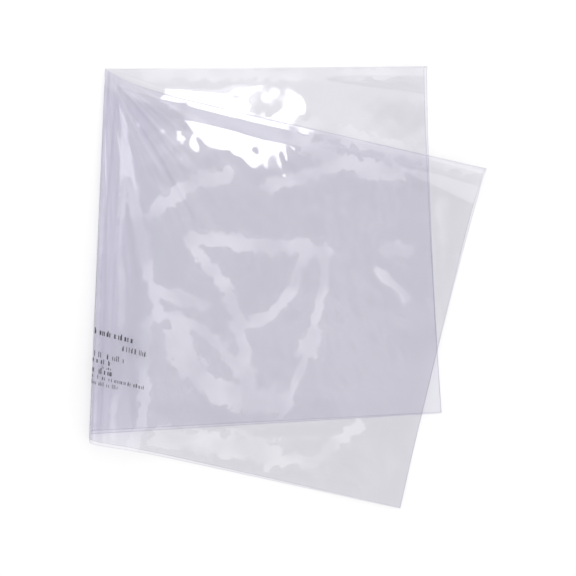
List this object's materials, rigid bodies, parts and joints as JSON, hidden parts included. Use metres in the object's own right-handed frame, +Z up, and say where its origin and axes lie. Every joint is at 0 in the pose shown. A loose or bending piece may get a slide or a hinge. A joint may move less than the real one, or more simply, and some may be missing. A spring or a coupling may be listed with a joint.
{
  "type": "clear insulating cover sheet",
  "caption": "Square sheet of soft clear film, folded in four and lying flat, whose front leaf opens along the side fold.",
  "frame": {"origin": "on the resting surface, under the middle of the folded sheet's bounding box", "axes": "+Z up, away from the table; +X from the side fold towards the open edges; +Y towards the top folds"},
  "size_m": [0.5616, 0.6268, 0.0272],
  "materials": {
    "clear_film": "clear gloss, faintly lavender grey",
    "print_ink": "thin dark printing ink"
  },
  "bodies": {
    "back_leaf": {"back_lower_panel": "clear_film", "back_upper_panel": "clear_film", "back_top_fold": "clear_film", "back_side_fold_outer": "clear_film", "back_side_fold_inner": "clear_film"},
    "front_leaf": {"front_lower_panel": "clear_film", "front_upper_panel": "clear_film", "front_top_fold": "clear_film", "front_side_fold_outer": "clear_film", "front_side_fold_inner": "clear_film"}
  },
  "joints": [
    {"name": "side_fold", "type": "hinge", "parent": "back_leaf", "child": "front_leaf", "pos_m": [-0.25872, 0.31055, 0.0016], "axis": [-0.0419, -0.9991, 0], "range_deg": [0, 180]}
  ]
}
